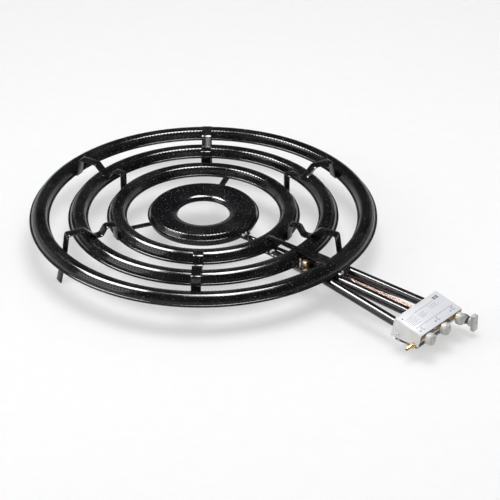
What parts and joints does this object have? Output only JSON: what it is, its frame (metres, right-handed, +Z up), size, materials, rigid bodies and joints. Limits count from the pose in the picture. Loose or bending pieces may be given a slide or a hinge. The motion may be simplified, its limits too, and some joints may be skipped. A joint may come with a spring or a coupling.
{
  "type": "gas ring burner stand",
  "caption": "Low four-burner gas stand for a wide pan: three black ring burners round a centre burner, strap legs and supports, and a white valve box with knobs.",
  "frame": {"origin": "centre of the bounding box at floor level", "axes": "+Z up, +X from the rings towards the valve box and its knobs, +Y to the side of the low tap, away from the gas inlet"},
  "size_m": [1.2568, 0.9, 0.1315],
  "materials": {
    "black_enamel": "gloss",
    "white_paint": "satin",
    "label_film": "satin",
    "brass": "satin",
    "copper": "satin",
    "steel": "brushed",
    "grey_plastic": "matte",
    "dark_plastic": "matte"
  },
  "bodies": {
    "stand": {"box_cover": "white_paint", "centre_burner_base": "black_enamel", "centre_burner_injector": "brass", "centre_burner_lead": "copper", "centre_burner_probe": "steel", "centre_burner_tap": "brass", "centre_burner_tap_bonnet": "dark_plastic", "centre_burner_top": "black_enamel", "centre_burner_tube": "black_enamel", "centre_carrier_1": "black_enamel", "centre_carrier_2": "black_enamel", "cover_screw_1": "steel", "cover_screw_2": "steel", "gas_rail": "steel", "hose_nipple": "brass", "label_plate": "label_film", "outer_ring_base": "black_enamel", "outer_ring_injector": "brass", "outer_ring_lead": "copper", "outer_ring_probe": "steel", "outer_ring_tap": "brass", "outer_ring_tap_bonnet": "brass", "outer_ring_top": "black_enamel", "outer_ring_tube": "black_enamel", "pan_support_2": "black_enamel", "pan_support_4": "black_enamel", "pan_support_6": "black_enamel", "pan_support_leg_1": "black_enamel", "pan_support_leg_3": "black_enamel", "pan_support_leg_5": "black_enamel", "second_ring_base": "black_enamel", "second_ring_injector": "brass", "second_ring_lead": "copper", "second_ring_probe": "steel", "second_ring_tap": "brass", "second_ring_tap_bonnet": "brass", "second_ring_top": "black_enamel", "second_ring_tube": "black_enamel", "third_ring_base": "black_enamel", "third_ring_injector": "brass", "third_ring_lead": "copper", "third_ring_probe": "steel", "third_ring_tap": "brass", "third_ring_tap_bonnet": "brass", "third_ring_top": "black_enamel", "third_ring_tube": "black_enamel", "tie_strap": "black_enamel", "tube_bracket": "steel"},
    "outer_ring_plug": {"outer_ring_tap_plug": "brass"},
    "outer_ring_control": {"outer_ring_spindle": "steel", "outer_ring_knob": "grey_plastic"},
    "second_ring_plug": {"second_ring_tap_plug": "brass"},
    "second_ring_control": {"second_ring_spindle": "steel", "second_ring_knob": "grey_plastic"},
    "third_ring_plug": {"third_ring_tap_plug": "brass"},
    "third_ring_control": {"third_ring_spindle": "steel", "third_ring_knob": "grey_plastic"},
    "centre_burner_plug": {"centre_burner_tap_plug": "brass"},
    "centre_burner_control": {"centre_burner_spindle": "steel", "centre_burner_knob": "grey_plastic"}
  },
  "joints": [
    {"name": "outer_ring_turn", "type": "hinge", "parent": "stand", "child": "outer_ring_plug", "pos_m": [0.58755, -0.06, 0.058], "axis": [1, 0, 0], "range_deg": [0, 180]},
    {"name": "outer_ring_push", "type": "slide", "parent": "outer_ring_plug", "child": "outer_ring_control", "axis": [1, 0, 0], "range_m": [-0.003, 0], "stiffness_N_per_m": 400, "springref_m": 0.003},
    {"name": "second_ring_turn", "type": "hinge", "parent": "stand", "child": "second_ring_plug", "pos_m": [0.58755, 0.06, 0.058], "axis": [1, 0, 0], "range_deg": [0, 180]},
    {"name": "second_ring_push", "type": "slide", "parent": "second_ring_plug", "child": "second_ring_control", "axis": [1, 0, 0], "range_m": [-0.003, 0], "stiffness_N_per_m": 400, "springref_m": 0.003},
    {"name": "third_ring_turn", "type": "hinge", "parent": "stand", "child": "third_ring_plug", "pos_m": [0.58755, 0, 0.058], "axis": [1, 0, 0], "range_deg": [0, 180]},
    {"name": "third_ring_push", "type": "slide", "parent": "third_ring_plug", "child": "third_ring_control", "axis": [1, 0, 0], "range_m": [-0.003, 0], "stiffness_N_per_m": 400, "springref_m": 0.003},
    {"name": "centre_burner_turn", "type": "hinge", "parent": "stand", "child": "centre_burner_plug", "pos_m": [0.58755, 0.094, 0.037], "axis": [1, 0, 0], "range_deg": [0, 180]},
    {"name": "centre_burner_push", "type": "slide", "parent": "centre_burner_plug", "child": "centre_burner_control", "axis": [1, 0, 0], "range_m": [-0.003, 0], "stiffness_N_per_m": 400, "springref_m": 0.003}
  ]
}
